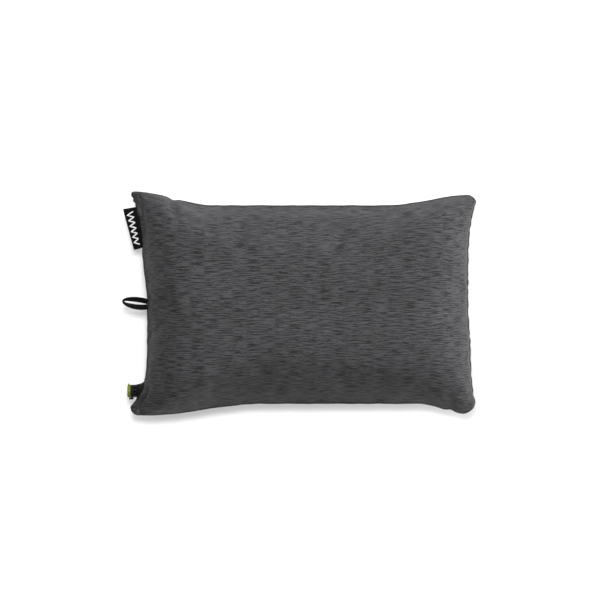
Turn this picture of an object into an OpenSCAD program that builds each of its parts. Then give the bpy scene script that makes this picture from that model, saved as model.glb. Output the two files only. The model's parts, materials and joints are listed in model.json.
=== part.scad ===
// Inflatable camp pillow: a fabric cover with a zip, a foam pad, a welded air bladder with
// baffles and a capped valve. Millimetres, +Z up, origin at the middle of the resting face.

/* [Cover] */
// From the middle to the seam at the left end
left_mid = 197; // [190:1:203]
// From the middle to the seam at the right end
right_mid = 209; // [203:1:214]
// From the middle to the corner tips, along the length
corner_reach = 218; // [216:1:222]
// From the middle to the seam on the long sides
half_width = 125; // [118:1:132]
// Extra half width at the corner tips
corner_flare = 15; // [8:1:20]
// Height of the seam above the resting face
seam_z = 48; // [46:1:50]
// Rise of the crown above the seam
crown = 54; // [52:1:57]
// Fabric thickness of the cover panels
fabric = 1.6; // [1.4:0.1:1.8]

/* [Foam and bladder] */
// Thickness of the foam pad
foam_t = 24; // [18:1:26]
// From the cover's seam to the foam's edge
foam_inset = 30; // [26:1:34]
// From the cover's seam to the bladder's weld
bladder_inset = 12; // [10:1:14]
// Thickness of the bladder film
film = 0.7; // [0.6:0.1:1]
// Length of each baffle
baffle_len = 210; // [120:10:220]
// Distance between two baffles
baffle_gap = 50; // [40:1:50]

/* [Valve] */
// Distance of the valve's axis from the pillow's middle line
valve_y = 110; // [106:1:112]
// Outer radius of the valve's barrel
barrel_r = 8; // [8:0.1:8.2]
// Radius of the mouth that the user blows into
mouth_r = 4.5; // [4:0.1:4.6]
// Radius of the opening that the cover leaves for the valve
port_r = 12; // [12:0.1:12.2]

/* [Zip] */
// Length of the opening that the zip closes
zip_len = 228; // [180:4:228]
// Height of that opening
zip_slot = 10; // [10:0.5:11]
// Length of the pull tab, from its pin
pull_len = 24; // [16:1:30]

/* [Label and loop] */
// Width of the hang loop's webbing
loop_width = 8; // [6:0.5:8]
// How far the hang loop stands out of the seam
loop_len = 30.5; // [26:0.5:34]
// Free gap between the loop's two strands
loop_gap = 5.4; // [5:0.1:6]
// Thickness of the folded side label
label_t = 1.2; // [0.8:0.1:1.4]

/* [Hidden] */

// The cover is a grid over u, along the length, and v, across the width, both from -1 to 1.
// The middle stretch keeps one cross-section, and each end closes in a rounded curve.
mid_share = 0.6;
end_steps = 7;
end_lines = [for (k = [0 : end_steps]) mid_share + (1 - mid_share) * sin(90 * k / end_steps)];
half_v = [0.2, 0.4, 0.56, 0.7, 0.82, 0.93, 1];
u_lines = concat([for (k = [end_steps : -1 : 0]) -end_lines[k]], [-0.3, 0, 0.3], end_lines);
v_lines = concat([for (k = [len(half_v) - 1 : -1 : 0]) -half_v[k]], [0], half_v);

skin_inset = 2.4;
foam_clear = 2.2;
film_clear = 0.8;
floor_clear = 0.3;
weld_width = 1.2;
weld_clear = 0.7;

function end_share(u) = max(0, (abs(u) - mid_share) / (1 - mid_share));
function close_ends(u) = sqrt(max(0, 1 - pow(end_share(u), 2.5)));
function close_sides(v) = sqrt(max(0, 1 - pow(abs(v), 3.5)));
// Share of the full crown, 1 on the middle line and 0 on the seam
function rise(u, v) = close_ends(u) * close_sides(v);

// The end with the valve flares late, close to its corner, and the others flare slowly.
function end_mid(u) = u < 0 ? left_mid : right_mid;
function flare_power(u, v) = u < 0 && v < 0 ? 4.5 : 2;
function reach_x(u, v) = end_mid(u) + (corner_reach - end_mid(u)) * pow(abs(v), flare_power(u, v));
function reach_y(u) = half_width + corner_flare * pow(end_share(u), 2);

// A grid of points, inset from the seam, that rises by height and goes no lower than lowest
function skin(inset, height, lowest = 0) = [
    for (u = u_lines) for (v = v_lines) [
        u * (reach_x(u, v) - inset),
        v * (reach_y(u) - inset),
        max(lowest, seam_z + height * rise(u, v))
    ]
];

// The share [u, v] at which a skin with this inset passes over the place x, y
function share_at(x, y, inset, u, v, turns = 5) = turns == 0 ? [u, v] : share_at(
    x, y, inset,
    x / (reach_x(x, v) - inset),
    y / (reach_y(u) - inset),
    turns - 1
);

// A grid that ends short of a skin and keeps a set height under it, so its edge is upright
function layer(inset, follows, height) = [
    for (u = u_lines) for (v = v_lines)
        let (
            x = u * (reach_x(u, v) - inset),
            y = v * (reach_y(u) - inset),
            share = share_at(x, y, follows, u, v)
        ) [x, y, seam_z + height * rise(share[0], share[1])]
];

// A closed solid between an upper and a lower grid of the same lines
module between(upper, lower) {
    rows = len(u_lines);
    cols = len(v_lines);
    last = cols - 1;
    end = rows - 1;
    under = rows * cols;
    function at(i, j) = i * cols + j;
    polyhedron(
        points = concat(upper, lower),
        faces = concat(
            [for (i = [0 : rows - 2]) for (j = [0 : cols - 2])
                [at(i, j), at(i, j + 1), at(i + 1, j + 1), at(i + 1, j)]],
            [for (i = [0 : rows - 2]) for (j = [0 : cols - 2])
                [under + at(i + 1, j), under + at(i + 1, j + 1), under + at(i, j + 1), under + at(i, j)]],
            [for (i = [0 : rows - 2])
                [at(i, 0), at(i + 1, 0), under + at(i + 1, 0), under + at(i, 0)]],
            [for (i = [0 : rows - 2])
                [at(i + 1, last), at(i, last), under + at(i, last), under + at(i + 1, last)]],
            [for (j = [0 : cols - 2])
                [at(0, j + 1), at(0, j), under + at(0, j), under + at(0, j + 1)]],
            [for (j = [0 : cols - 2])
                [at(end, j), at(end, j + 1), under + at(end, j + 1), under + at(end, j)]]
        )
    );
}

// A hollow panel under the seam, cut off flat at lowest, with a rim of the given width
module panel(inset, rim, height, wall, lowest) {
    between(skin(inset + rim, wall - height, lowest + wall), skin(inset, -height, lowest));
}

// The same panel turned over the seam, with its full crown
module upper_panel(inset, rim, height, wall) {
    translate([0, 0, 2 * seam_z]) mirror([0, 0, 1])
        panel(inset, rim, height, wall, -height);
}

// Valve places along its axis, measured outwards from the cover's edge
valve_edge_x = -203;
barrel_start = -17;
barrel_end = 11;
core_flange = [11.2, 14.4];
lip_end = 16.4;
cap_skirt = 14.8;
cap_roof = 17.2;
cap_end = 18.6;
seat = [9.6, 10.4];
boss_end = 7.7;
core_pin = [9.6, 12.8];
cap_pin = [9.4, 15.6];
valve_pin_r = 0.8;
pin_clear = 0.05;
bore_r = barrel_r - 2;
lip_r = 6.2;

// Draws in the valve's own frame: +Z out of the mouth, +X up, +Y across the pillow
module on_valve() {
    translate([valve_edge_x, -valve_y, seam_z]) rotate([0, -90, 0]) children();
}

module disc(r, from, to) {
    translate([0, 0, from]) cylinder(r = r, h = to - from, $fn = 64);
}

module valve_hole(r) {
    on_valve() disc(r, barrel_start - 0.5, 22);
}

// The gap in the bladder's edge that the barrel is welded into
module weld_gap() {
    valve_hole(barrel_r + weld_clear);
}

// Zip frame: +X along the zip, +Y out of the flank, +Z up the flank towards the seam
strip_v = half_v[5];
strip_low = [strip_v * half_width, seam_z - crown * close_sides(strip_v)];
strip_tilt = atan2(half_width - strip_low[0], seam_z - strip_low[1]);
zip_y = (half_width + strip_low[0]) / 2;
zip_z = (seam_z + strip_low[1]) / 2;
tape_back = -3.45;
tape_front = -2.75;
tape_edge = 1.4;
tape_width = 9.6;
coil_r = 0.95;
coil_y = -1.75;
coil_from = -zip_len / 2 + 4;
coil_to = zip_len / 2 - 9;
slider_x = zip_len / 2 - 8;
slider_half = 5.5;
slider_wide = 3.6;
pull_pin_y = 1.9;
pull_pin_r = 0.8;

module on_zip() {
    translate([0, zip_y, zip_z]) rotate([-strip_tilt, 0, 0]) children();
}

module box(from, to) {
    translate(from) cube(to - from);
}

// ---- Cover ----

module cover_top() {
    color("#4d4d4f") difference() {
        upper_panel(0, skin_inset, crown, fabric);
        valve_hole(port_r);
    }
}

module cover_bottom() {
    color("#3f3f41") difference() {
        panel(0, skin_inset, crown, fabric, 0);
        valve_hole(port_r);
        on_zip() box([-zip_len / 2, -6, -zip_slot / 2], [zip_len / 2, 3, zip_slot / 2]);
    }
}

module foam_pad() {
    top = crown - fabric - foam_clear;
    color("#d9d4c4")
        between(layer(foam_inset, skin_inset, top), layer(foam_inset, bladder_inset - 1, top - foam_t));
}

// ---- Air bladder ----

film_top = crown - fabric - foam_clear - foam_t - film_clear;
film_low = fabric + floor_clear;

module bladder_top() {
    color("#8fa3ad") difference() {
        upper_panel(bladder_inset, weld_width, film_top, film);
        weld_gap();
    }
}

module bladder_bottom() {
    color("#8fa3ad") difference() {
        panel(bladder_inset, weld_width, crown - film_low, film, film_low);
        weld_gap();
    }
}

// Where the inside of a bladder film lies, at a distance from the middle line
function film_z(y, height) = lookup(
    y / (half_width - bladder_inset - weld_width),
    [for (v = concat([0], half_v)) [v, max(film_low + film, seam_z + height * close_sides(v))]]
);

module baffle(index) {
    web_t = 0.8;
    clear = 0.35;
    y = (index - 2.5) * baffle_gap;
    far = abs(y) + web_t / 2;
    low = film_z(far, film + film_low - crown) + clear;
    high = film_z(far, film_top - film) - clear;
    color("#b8c4c9") box([-baffle_len / 2, y - web_t / 2, low], [baffle_len / 2, y + web_t / 2, high]);
}

module baffle_1() { baffle(1); }
module baffle_2() { baffle(2); }
module baffle_3() { baffle(3); }
module baffle_4() { baffle(4); }

// ---- Valve ----

// The bound edge of the cover's opening, round the barrel
module valve_port_binding() {
    color("#1c1c1e") on_valve() rotate_extrude($fn = 64)
        translate([barrel_r + 0.5, -0.8]) square([port_r - barrel_r - 0.7, 4.6]);
}

// Two ears with a fixed pin between them, on the +X side of the axis, at [distance, height]
module ears(pin, root_r, root_low, top) {
    for (side = [-1, 1]) {
        mirror([0, side < 0 ? 1 : 0, 0]) {
            box([root_r + 0.2, 1.7, root_low], [pin[0] + 1.2, 2.9, top]);
            box([root_r - 1.2, 1.7, root_low], [root_r + 0.3, 2.9, root_low + 2.2]);
        }
    }
    translate([pin[0], 0, pin[1]]) rotate([90, 0, 0])
        cylinder(r = valve_pin_r, h = 5, center = true, $fn = 32);
}

// The knuckle that turns on that pin, with the web that carries it
module knuckle(pin, web_from, web_z) {
    difference() {
        union() {
            translate([pin[0], 0, pin[1]]) rotate([90, 0, 0])
                cylinder(r = 1.4, h = 2.6, center = true, $fn = 32);
            box([web_from, -1.3, web_z[0]], [pin[0], 1.3, web_z[1]]);
        }
        translate([pin[0], 0, pin[1]]) rotate([90, 0, 0])
            cylinder(r = valve_pin_r + pin_clear, h = 4, center = true, $fn = 32);
    }
}

module valve_base() {
    color("#1c1c1e") on_valve() {
        difference() {
            union() {
                disc(barrel_r, barrel_start, barrel_end);
                // Weld ribs, where the bladder's films close on the barrel
                for (rib = [-15, -12.5, -10])
                    disc(barrel_r + 0.4, rib, rib + 1.2);
            }
            disc(bore_r, barrel_start - 1, barrel_end + 1);
        }
        ears(core_pin, barrel_r, 8, core_pin[1] + 0.8);
    }
}

module valve_core() {
    color("#232326") on_valve() {
        difference() {
            union() {
                translate([0, 0, boss_end]) rotate_extrude($fn = 64)
                    polygon([[0, 0], [bore_r - 1.1, 0], [bore_r - 0.4, 3.5], [0, 3.5]]);
                disc(barrel_r, core_flange[0], core_flange[1]);
                disc(lip_r, core_flange[0], lip_end);
            }
            disc(mouth_r, seat[1], lip_end + 1);
            disc(mouth_r, boss_end - 1, seat[0]);
            disc(mouth_r - 1.1, boss_end, lip_end);
        }
        knuckle(core_pin, barrel_r - 1, [12, 13.6]);
        rotate([0, 0, -90]) ears(cap_pin, barrel_r + 0.2, 11.6, cap_pin[1] + 0.8);
    }
}

// The one-way flap hangs inside the core, under its seat
module check_flap() {
    color("#6d6f73") on_valve() disc(mouth_r - 0.35, seat[0] - 1, seat[0] - 0.3);
}

module valve_cap() {
    color("#a6c626") on_valve() {
        difference() {
            disc(barrel_r + 0.1, cap_skirt, cap_end);
            disc(lip_r + 0.3, cap_skirt - 1, cap_roof);
        }
        rotate([0, 0, -90]) knuckle(cap_pin, barrel_r - 1.2, [14.9, 16.3]);
        // Lift tab, on the far side from the hinge
        box([-2.5, barrel_r - 0.6, cap_roof - 0.6], [2.5, barrel_r + 1.4, cap_end - 0.4]);
    }
}

module cap_seal() {
    color("#c9cdd0") on_valve() rotate_extrude($fn = 48)
        translate([lip_r - 2.2, cap_roof - 0.45]) square([2.3, 0.4]);
}

// ---- Zip ----

module tape(side) {
    edge = side > 0 ? tape_edge : -tape_edge - tape_width;
    half = zip_len / 2 + 3;
    color("#2a2a2c") on_zip() box([-half, tape_back, edge], [half, tape_front, edge + tape_width]);
}

module zip_tape_upper() { tape(1); }
module zip_tape_lower() { tape(-1); }

module coil(side) {
    color("#222224") on_zip() translate([coil_from, coil_y, side * (coil_r + 0.1)])
        rotate([0, 90, 0]) cylinder(r = coil_r, h = coil_to - coil_from, $fn = 24);
}

module zip_coil_upper() { coil(1); }
module zip_coil_lower() { coil(-1); }

// A crimped stop on each tape, just past the closed slider
module zip_top_stops() {
    color("#8b8d90") on_zip() for (low = [-3.8, 2])
        box([zip_len / 2 - 2, tape_front, low], [zip_len / 2 - 0.4, tape_front + 1.7, low + 1.8]);
}

module zip_bottom_stop() {
    color("#8b8d90") on_zip() box([coil_from - 3, tape_front, -2.3], [coil_from - 0.3, -0.6, 2.3]);
}

module zip_slider() {
    color("#3a3b3e") on_zip() translate([slider_x, 0, 0]) difference() {
        union() {
            box([-slider_half, -0.45, -slider_wide], [slider_half, 0.75, slider_wide]);
            box([-slider_half, -4.85, -slider_wide], [slider_half, -3.8, slider_wide]);
            translate([3.2, -4.2, 0]) rotate([-90, 0, 0]) cylinder(r = 1.1, h = 4.2, $fn = 32);
            for (low = [-slider_wide, slider_wide - 0.7])
                box([-slider_half, -1.6, low], [slider_half, 0, low + 0.7]);
            box([-1.6, 0.5, -0.9], [1.6, 3.1, 0.9]);
        }
        translate([0, pull_pin_y, 0]) cylinder(r = pull_pin_r + pin_clear, h = 4, center = true, $fn = 32);
    }
}

module zip_pull() {
    color("#3a3b3e") on_zip() translate([slider_x, pull_pin_y, 0]) {
        cylinder(r = pull_pin_r, h = 4.4, center = true, $fn = 32);
        for (side = [-1, 1]) {
            low = side > 0 ? 1.2 : -2.2;
            translate([0, 0, low]) cylinder(r = 0.9, h = 1, $fn = 32);
            box([-5, -0.6, low], [0, 0.6, low + 1]);
        }
        box([-pull_len, -0.6, -3], [-4, 0.6, 3]);
    }
}

// ---- Label and hang loop ----

seam_gap = 0.8;

// Seam edge first, then the free edge; the label leans along the flaring seam
label_outline = [[-212.4, 117.5], [-203.4, 70.8], [-215.1, 69.8], [-227.7, 120.5]];

module side_label() {
    color("#141415") translate([0, 0, seam_z - label_t / 2]) linear_extrude(label_t) polygon(label_outline);
}

// A flat root in the seam, then webbing on edge round a bow
module hang_loop() {
    strand = 4.3;
    bow_r = loop_gap / 2 + strand;
    root_x = -left_mid - seam_gap;
    bow_x = root_x - loop_len + bow_r;
    color("#161617") translate([0, 1.5, seam_z]) {
        for (side = [-1, 1]) {
            low = side > 0 ? loop_gap / 2 : -bow_r;
            box([root_x - 8, low, -0.6], [root_x, low + strand, 0.6]);
            box([bow_x, low, -loop_width / 2], [root_x - 7, low + strand, loop_width / 2]);
        }
        translate([bow_x, 0, -loop_width / 2]) rotate([0, 0, 90])
            rotate_extrude(angle = 180, $fn = 48) translate([loop_gap / 2, 0]) square([strand, loop_width]);
    }
}

cover_top();
cover_bottom();
foam_pad();
bladder_top();
bladder_bottom();
baffle_1();
baffle_2();
baffle_3();
baffle_4();
valve_port_binding();
valve_base();
valve_core();
check_flap();
valve_cap();
cap_seal();
zip_tape_upper();
zip_tape_lower();
zip_coil_upper();
zip_coil_lower();
zip_top_stops();
zip_bottom_stop();
zip_slider();
zip_pull();
side_label();
hang_loop();
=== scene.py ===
"""The looks of the camp pillow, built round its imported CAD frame. Metres, +Z up, +X along the pillow."""

import json
import math

import bmesh
import bpy
import numpy as np
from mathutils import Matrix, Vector
from mathutils.bvhtree import BVHTree
from mathutils.geometry import barycentric_transform


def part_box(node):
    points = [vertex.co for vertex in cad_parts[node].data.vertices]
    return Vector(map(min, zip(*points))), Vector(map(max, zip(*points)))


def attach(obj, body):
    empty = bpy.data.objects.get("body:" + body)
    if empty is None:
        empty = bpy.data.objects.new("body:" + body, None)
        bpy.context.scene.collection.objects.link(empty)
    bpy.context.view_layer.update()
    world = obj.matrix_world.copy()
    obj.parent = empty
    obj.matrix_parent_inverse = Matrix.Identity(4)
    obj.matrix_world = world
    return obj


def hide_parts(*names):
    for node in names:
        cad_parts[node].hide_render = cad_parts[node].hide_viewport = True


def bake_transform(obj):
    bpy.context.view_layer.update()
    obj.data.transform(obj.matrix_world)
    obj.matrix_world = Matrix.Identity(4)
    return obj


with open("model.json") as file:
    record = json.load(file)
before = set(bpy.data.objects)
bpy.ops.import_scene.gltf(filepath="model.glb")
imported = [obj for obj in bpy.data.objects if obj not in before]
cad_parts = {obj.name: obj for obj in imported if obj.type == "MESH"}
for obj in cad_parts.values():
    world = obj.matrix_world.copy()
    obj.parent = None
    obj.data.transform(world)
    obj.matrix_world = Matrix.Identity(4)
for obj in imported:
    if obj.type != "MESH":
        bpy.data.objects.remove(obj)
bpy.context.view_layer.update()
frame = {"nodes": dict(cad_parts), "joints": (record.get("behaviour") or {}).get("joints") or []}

MM = 0.001
UP = Vector((0, 0, 1))


# ---- Places from the frame ----

cover_low, cover_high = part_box("cover_top")
CORNER_X = cover_high.x
CORNER_Y = cover_high.y
SEAM_Z = cover_low.z
CROWN = cover_high.z - cover_low.z
seal_low, seal_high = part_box("cap_seal")
VALVE_Y = (seal_low.y + seal_high.y) / 2
coil_low, coil_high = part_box("zip_coil_upper")

# The zip's own frame: along X, up the flank and out of it, from the middle of its slot
pull_joint = next(j for j in frame["joints"] if j["name"] == "zip_pull_hinge")
ZIP_UP = -Vector(pull_joint["axis"]).normalized()
flank_normal = ZIP_UP.cross(Vector((1, 0, 0))).normalized()
ZIP_OUT = -flank_normal if flank_normal.y < 0 else flank_normal
# A coil's middle: this far from the zip's middle line, and this far behind the cloth
COIL_RISE = 1.05 * MM
COIL_SINK = 1.75 * MM
coil_middle = Vector((0, (coil_low.y + coil_high.y) / 2, (coil_low.z + coil_high.z) / 2))
ZIP_MID = coil_middle - ZIP_UP * COIL_RISE + ZIP_OUT * COIL_SINK
ZIP_HALF = 114 * MM
SLOT_HALF = 5 * MM


# ---- Small tools ----

def smooth(t):
    """0 before 0, 1 after 1, and an even curve between."""
    t = np.clip(t, 0, 1)
    return t * t * (3 - 2 * t)


def bump_at(x, middle, width):
    """A bell of height 1 round middle."""
    return np.exp(-((x - middle) / width) ** 2)


def clamp(value, limit):
    """The value, kept between -limit and limit."""
    return max(-limit, min(limit, value))


def waves(s, pitch, seed):
    """An uneven ripple from -1 to 1 along s, made of a few fixed waves."""
    phase = [math.sin(12.9898 * (seed + k)) * 43758.5453 % 1 * 2 * math.pi for k in range(4)]
    drift = 1.4 * np.sin(2 * math.pi * s / (4.3 * pitch) + phase[1])
    total = np.sin(2 * math.pi * s / pitch + phase[0] + drift)
    total += 0.6 * np.sin(2 * math.pi * s / (1.73 * pitch) + phase[2])
    total += 0.4 * np.sin(2 * math.pi * s / (0.61 * pitch) + phase[3])
    return total / 2


def make_mesh(name, points, faces, material, smooth_faces=True):
    """A new object in the scene, with one material."""
    mesh = bpy.data.meshes.new(name)
    mesh.from_pydata([tuple(map(float, p)) for p in points], [], [tuple(map(int, f)) for f in faces])
    mesh.validate()
    mesh.update()
    obj = bpy.data.objects.new(name, mesh)
    bpy.context.scene.collection.objects.link(obj)
    mesh.materials.append(material)
    mesh.polygons.foreach_set("use_smooth", [smooth_faces] * len(mesh.polygons))
    return obj


def read_vectors(items, key):
    """One vector of each item, as the rows of an array."""
    values = np.zeros(len(items) * 3, np.float32)
    items.foreach_get(key, values)
    return values.reshape(-1, 3).astype(float)


def coords(obj):
    return read_vectors(obj.data.vertices, "co")


def normals(obj):
    return read_vectors(obj.data.vertex_normals, "vector")


def stored(obj, name):
    """The vectors that store() kept on the mesh."""
    return read_vectors(obj.data.attributes[name].data, "vector")


def set_coords(obj, co):
    obj.data.vertices.foreach_set("co", co.astype(np.float32).ravel())
    obj.data.update()


def store(obj, name, values):
    """Keeps a vector for each vertex on the mesh."""
    attribute = obj.data.attributes.new(name, "FLOAT_VECTOR", "POINT")
    attribute.data.foreach_set("vector", values.astype(np.float32).ravel())


def subdivide(obj):
    """Halves the mesh's cells, rounds it and makes the result the mesh."""
    modifier = obj.modifiers.new("subdivide", "SUBSURF")
    modifier.levels = modifier.render_levels = 1
    bpy.context.view_layer.update()
    made = bpy.data.meshes.new_from_object(obj.evaluated_get(bpy.context.evaluated_depsgraph_get()))
    obj.modifiers.clear()
    obj.data = made


def thicken(obj, thickness, offset=-1.0):
    """Gives a sheet its thickness: inward at offset -1, to both sides at 0."""
    modifier = obj.modifiers.new("thickness", "SOLIDIFY")
    modifier.thickness = thickness
    modifier.offset = offset
    modifier.use_even_offset = False


def tube_faces(rings, sides):
    """The faces of a closed tube: quads between its rings, and a cap at each end."""
    faces, last = [], (rings - 1) * sides
    for a in range(0, last, sides):
        for k in range(sides):
            after = (k + 1) % sides
            faces.append((a + k, a + after, a + sides + after, a + sides + k))
    return faces + [tuple(range(sides))[::-1], tuple(range(last, last + sides))]


# Radius of a tube's end face, as a share of the tube's own
TUBE_END = 0.6


def tube(name, path, radius, material, sides=10):
    """A round tube along a list of points, drawn in at both ends."""
    path = [Vector(p) for p in path]
    last = len(path) - 1
    rings = []
    for i, centre in enumerate(path):
        along = (path[min(i + 1, last)] - path[max(i - 1, 0)]).normalized()
        across = along.cross(UP)
        if across.length < 1e-3:
            across = along.cross(Vector((0, 1, 0)))
        across.normalize()
        rings.append((centre, along, across, across.cross(along), radius))
    end = radius * TUBE_END
    centre, along, across, upward, _ = rings[0]
    rings.insert(0, (centre - along * end, along, across, upward, end))
    centre, along, across, upward, _ = rings[-1]
    rings.append((centre + along * end, along, across, upward, end))
    points = []
    for centre, _, across, upward, size in rings:
        for k in range(sides):
            angle = 2 * math.pi * k / sides
            points.append(centre + across * (math.cos(angle) * size) + upward * (math.sin(angle) * size))
    return make_mesh(name, points, tube_faces(len(rings), sides), material)


def join(name, parts):
    """Joins several meshes of one material into one piece."""
    points, faces, shift = [], [], 0
    material = parts[0].data.materials[0]
    for part in parts:
        points += [v.co.copy() for v in part.data.vertices]
        faces += [tuple(shift + i for i in p.vertices) for p in part.data.polygons]
        shift += len(part.data.vertices)
        bpy.data.objects.remove(part)
    return make_mesh(name, points, faces, material)


# ---- Materials ----

class Nodes:
    """Builds a material's node tree in few words."""

    def __init__(self, name):
        self.material = bpy.data.materials.new(name)
        self.material.use_nodes = True
        self.tree = self.material.node_tree
        self.shader = self.tree.nodes["Principled BSDF"]

    def add(self, kind, inputs=(), **settings):
        """A shader node with its settings, and its inputs linked or given a value."""
        node = self.tree.nodes.new("ShaderNode" + kind)
        for key, value in settings.items():
            setattr(node, key, value)
        for key, value in dict(inputs).items():
            if isinstance(value, bpy.types.NodeSocket):
                self.tree.links.new(value, node.inputs[key])
            else:
                node.inputs[key].default_value = value
        return node

    def set(self, **values):
        """Constants on the shader's own sockets."""
        for key, value in values.items():
            self.shader.inputs[key.replace("_", " ")].default_value = value

    def link(self, socket, name):
        self.tree.links.new(socket, self.shader.inputs[name])

    def place(self, attribute=None):
        """The point in metres: the cloth's own place if it is stored, else the place in the frame."""
        if attribute:
            return self.add("Attribute", attribute_name=attribute).outputs["Vector"]
        return self.add("TexCoord").outputs["Object"]

    def moved(self, place, shift):
        return self.add("VectorMath", {0: place, 1: shift}, operation="ADD").outputs["Vector"]

    def noise(self, place, scale, detail=2.0, rough=0.5, stretch=(1, 1, 1)):
        mapped = self.add("Mapping", {"Vector": place, "Scale": stretch}).outputs["Vector"]
        made = self.add("TexNoise", {"Vector": mapped, "Scale": scale, "Detail": detail, "Roughness": rough})
        return made.outputs["Fac"]

    def wave(self, place, scale, direction):
        made = self.add("TexWave", {"Vector": place, "Scale": scale},
                        wave_type="BANDS", bands_direction=direction, wave_profile="SIN")
        return made.outputs["Fac"]

    def math(self, operation, a, b):
        return self.add("Math", {0: a, 1: b}, operation=operation).outputs[0]

    def ramp(self, factor, *stops):
        """The factor turned into a grey: each stop is a factor and its grey."""
        node = self.add("ValToRGB", {"Fac": factor})
        elements = node.color_ramp.elements
        while len(elements) < len(stops):
            elements.new(0.5)
        for element, (position, grey) in zip(elements, stops):
            element.position = position
            element.color = (grey, grey, grey, 1)
        return node.outputs["Color"]

    def mix(self, factor, a, b, how="MIX"):
        """Two colours mixed, each a socket or three numbers."""
        node = self.add("Mix", data_type="RGBA", blend_type=how)
        for key, value in ((0, factor), (6, a), (7, b)):
            if isinstance(value, bpy.types.NodeSocket):
                self.tree.links.new(value, node.inputs[key])
            else:
                node.inputs[key].default_value = value if key == 0 else (*value, 1)
        return node.outputs[2]

    def relief(self, height, distance, strength, after=None):
        """A bump on the surface, or on top of the bump after."""
        inputs = {"Height": height, "Distance": distance, "Strength": strength}
        if after is not None:
            inputs["Normal"] = after
        return self.add("Bump", inputs).outputs["Normal"]


# The Wave Texture's turns for the ribs across a cloth and for the yarns along it
RIB_TURNS = 3.1
YARN_TURNS = 4.2


def band_scale(turns, yarn):
    """The Wave Texture's scale for a yarn of this width."""
    return turns / (2 * math.pi * yarn)


def heather(name, dark, light, seed=0.0):
    """Heathered stretch knit: thin slubs that run along the pillow, a fine rib and fuzz."""
    # Slubs and yarns to the metre, along and across the pillow
    slubs, yarns = (58, 840, 1), (230, 2100, 1)
    wander, rib_yarn = 4.5 * MM, 1.1 * MM
    n = Nodes(name)
    place = n.place("cloth")
    shifted = n.moved(place, (seed, seed * 0.7, 0))
    sway = n.math("MULTIPLY", n.noise(shifted, 28, 1.0), wander)
    bent = n.moved(shifted, n.add("CombineXYZ", {"Y": sway}).outputs["Vector"])
    slub = n.noise(bent, 1.0, 4.0, 0.66, slubs)
    yarn = n.noise(bent, 1.0, 2.0, 0.6, yarns)
    cloud = n.noise(shifted, 9, 2.0, 0.5, (1, 2.2, 1))
    streak = n.ramp(slub, (0.44, 0), (0.477, 0.36), (0.526, 1))
    thread = n.ramp(yarn, (0.3, 0.2), (0.72, 1))
    base = n.mix(n.mix(0.3, streak, thread), dark, light)
    shade = n.ramp(cloud, (0.3, 0.86), (0.7, 1.08))
    n.link(n.mix(1.0, base, shade, "MULTIPLY"), "Base Color")
    crinkle = n.relief(slub, 0.9 * MM, 0.55)
    woven = n.relief(yarn, 0.22 * MM, 0.5, crinkle)
    rib = n.wave(place, band_scale(RIB_TURNS, rib_yarn), "Y")
    n.link(n.relief(rib, 0.1 * MM, 0.5, woven), "Normal")
    n.link(n.ramp(yarn, (0.3, 0.94), (0.7, 0.78)), "Roughness")
    n.set(Sheen_Weight=0.07, Sheen_Roughness=0.45, Sheen_Tint=(0.8, 0.8, 0.83, 1), Specular_IOR_Level=0.25)
    return n.material


def webbing(name, dark, light, yarn, place=None, sheen=0.15, rough=0.75, shine=0.3):
    """Woven tape: ribs across it, yarns along it and fine noise."""
    n = Nodes(name)
    point = n.place(place)
    across = n.wave(point, band_scale(RIB_TURNS, yarn), "Y")
    along = n.wave(point, band_scale(YARN_TURNS, yarn), "X")
    weave = n.math("MULTIPLY", across, along)
    fuzz = n.noise(point, 1400)
    tone = n.math("ADD", n.math("MULTIPLY", weave, 0.6), n.math("MULTIPLY", fuzz, 0.4))
    n.link(n.mix(tone, dark, light), "Base Color")
    n.link(n.relief(weave, 0.22 * MM, 0.8, n.relief(fuzz, 0.08 * MM, 0.4)), "Normal")
    n.link(n.ramp(fuzz, (0.3, rough + 0.12), (0.7, rough - 0.1)), "Roughness")
    n.set(Sheen_Weight=sheen, Sheen_Roughness=0.4, Specular_IOR_Level=shine)
    return n.material


def plastic(name, colour, rough, wear=0.06, coat=0.0, scatter=0.0, shine=0.5):
    """Moulded plastic: a fine grain, slightly uneven gloss and paler worn edges."""
    n = Nodes(name)
    point = n.place()
    fine = n.noise(point, 900, 3.0, 0.6)
    broad = n.noise(point, 60)
    edge = n.ramp(n.add("NewGeometry").outputs["Pointiness"], (0.52, 0), (0.6, 1))
    worn = tuple(min(1.0, c + wear) for c in colour)
    base = n.mix(n.math("MULTIPLY", edge, broad), colour, worn)
    tint = n.ramp(broad, (0.3, 0.93), (0.7, 1.04))
    n.link(n.mix(1.0, base, tint, "MULTIPLY"), "Base Color")
    n.link(n.ramp(n.mix(0.5, fine, broad), (0.3, rough - 0.06), (0.7, rough + 0.1)), "Roughness")
    n.link(n.relief(fine, 0.03 * MM, 0.25), "Normal")
    n.set(Coat_Weight=coat, Coat_Roughness=0.15, Specular_IOR_Level=shine)
    n.set(Subsurface_Weight=scatter, Subsurface_Scale=1.5 * MM)
    return n.material


def metal(name, colour, rough):
    """Plated zinc: brushed, with dull patches."""
    n = Nodes(name)
    point = n.place()
    brushed = n.noise(point, 1.0, 3.0, 0.6, (160, 2600, 2600))
    dull = n.noise(point, 260)
    n.link(n.mix(brushed, tuple(c * 0.75 for c in colour), colour), "Base Color")
    n.link(n.ramp(dull, (0.35, rough), (0.7, rough + 0.22)), "Roughness")
    n.link(n.relief(brushed, 0.02 * MM, 0.3), "Normal")
    n.set(Metallic=1.0)
    return n.material


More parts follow.
